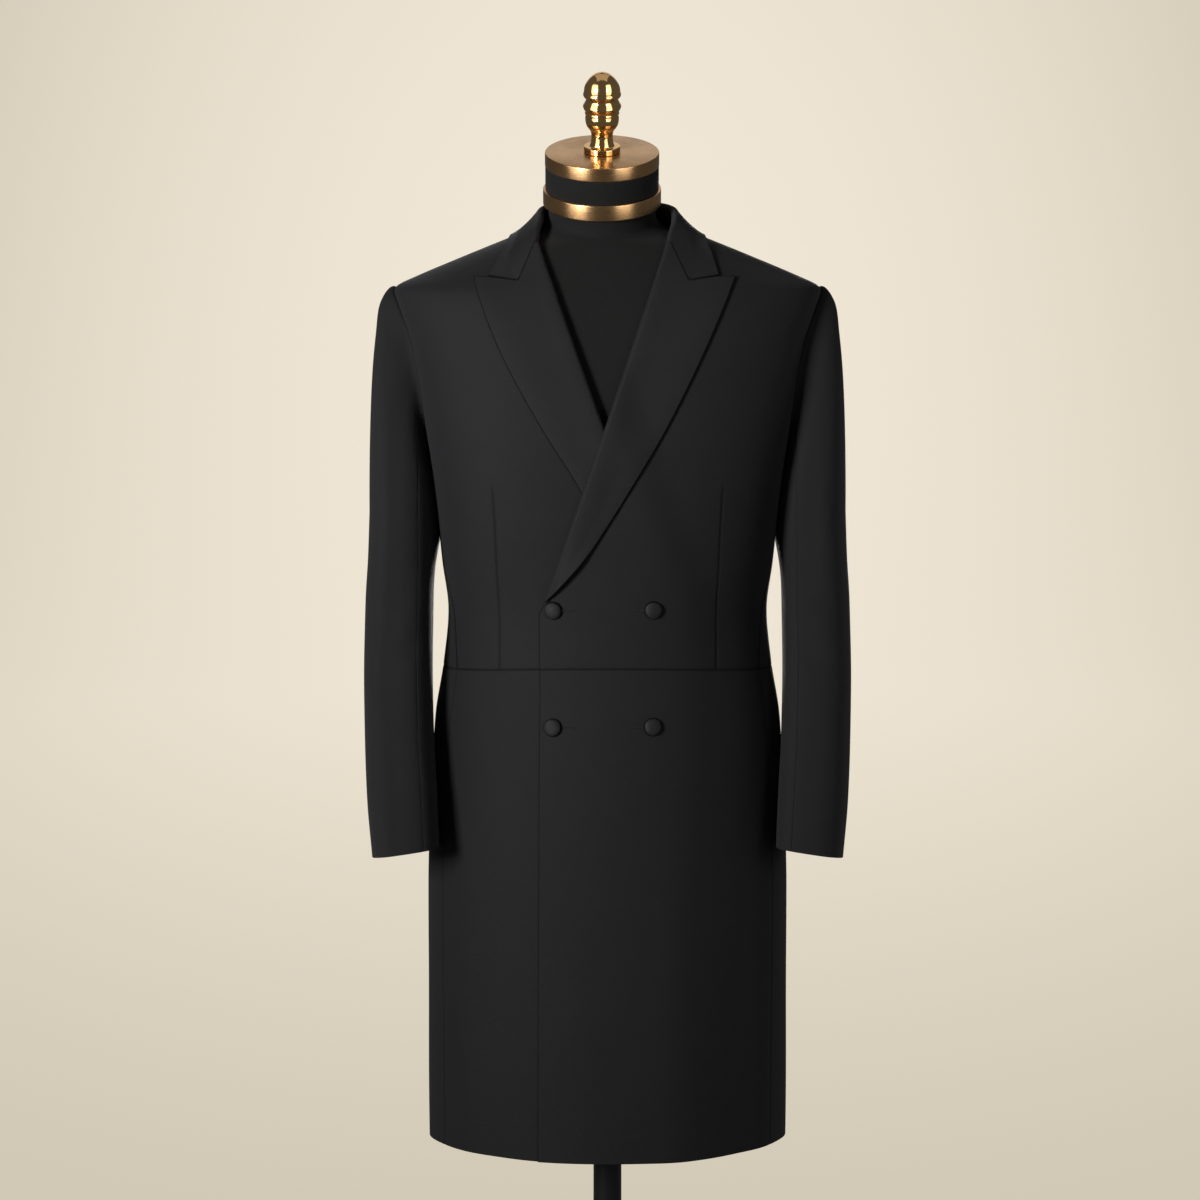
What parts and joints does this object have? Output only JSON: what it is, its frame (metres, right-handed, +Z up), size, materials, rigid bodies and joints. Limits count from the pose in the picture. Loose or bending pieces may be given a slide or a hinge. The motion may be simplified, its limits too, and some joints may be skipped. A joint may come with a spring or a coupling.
{
  "type": "double-breasted kapote frock coat on a limbless dress form",
  "caption": "Knee-length black double-breasted frock coat with peak lapels, waist seam and skirts, worn by a limbless dress form on a round stand.",
  "frame": {"origin": "centre of the base's underside, on the floor below the form's pole", "axes": "+Z up; the coat faces -Y; +X is the wearer's left, the side whose front lies on top"},
  "size_m": [0.546, 0.4, 1.6813],
  "materials": {
    "coat_wool": "black wool, fine worsted, faintly napped",
    "lapel_wool": "black wool with a slight sheen on lapels and collar",
    "button_cloth": "cloth-covered button, dark grey",
    "form_cloth": "black stretched linen",
    "neck_brass": "brushed",
    "finial_brass": "polished",
    "stand_metal": "satin black"
  },
  "bodies": {
    "root": {"front_left": "coat_wool", "front_right": "coat_wool", "back_left": "coat_wool", "back_right": "coat_wool", "skirt_front_left": "coat_wool", "skirt_front_right": "coat_wool", "skirt_back_left": "coat_wool", "skirt_back_right": "coat_wool", "sleeve_top_left": "coat_wool", "sleeve_top_right": "coat_wool", "sleeve_under_left": "coat_wool", "sleeve_under_right": "coat_wool", "lapel_left": "lapel_wool", "lapel_right": "lapel_wool", "collar": "lapel_wool", "button_upper_edge": "button_cloth", "button_upper_chest": "button_cloth", "button_lower_edge": "button_cloth", "button_lower_chest": "button_cloth", "form_torso": "form_cloth", "form_neck_band": "form_cloth", "form_neck_ring": "neck_brass", "form_neck_cap": "neck_brass", "form_finial": "finial_brass", "form_pole": "stand_metal", "form_base": "stand_metal"}
  },
  "joints": []
}
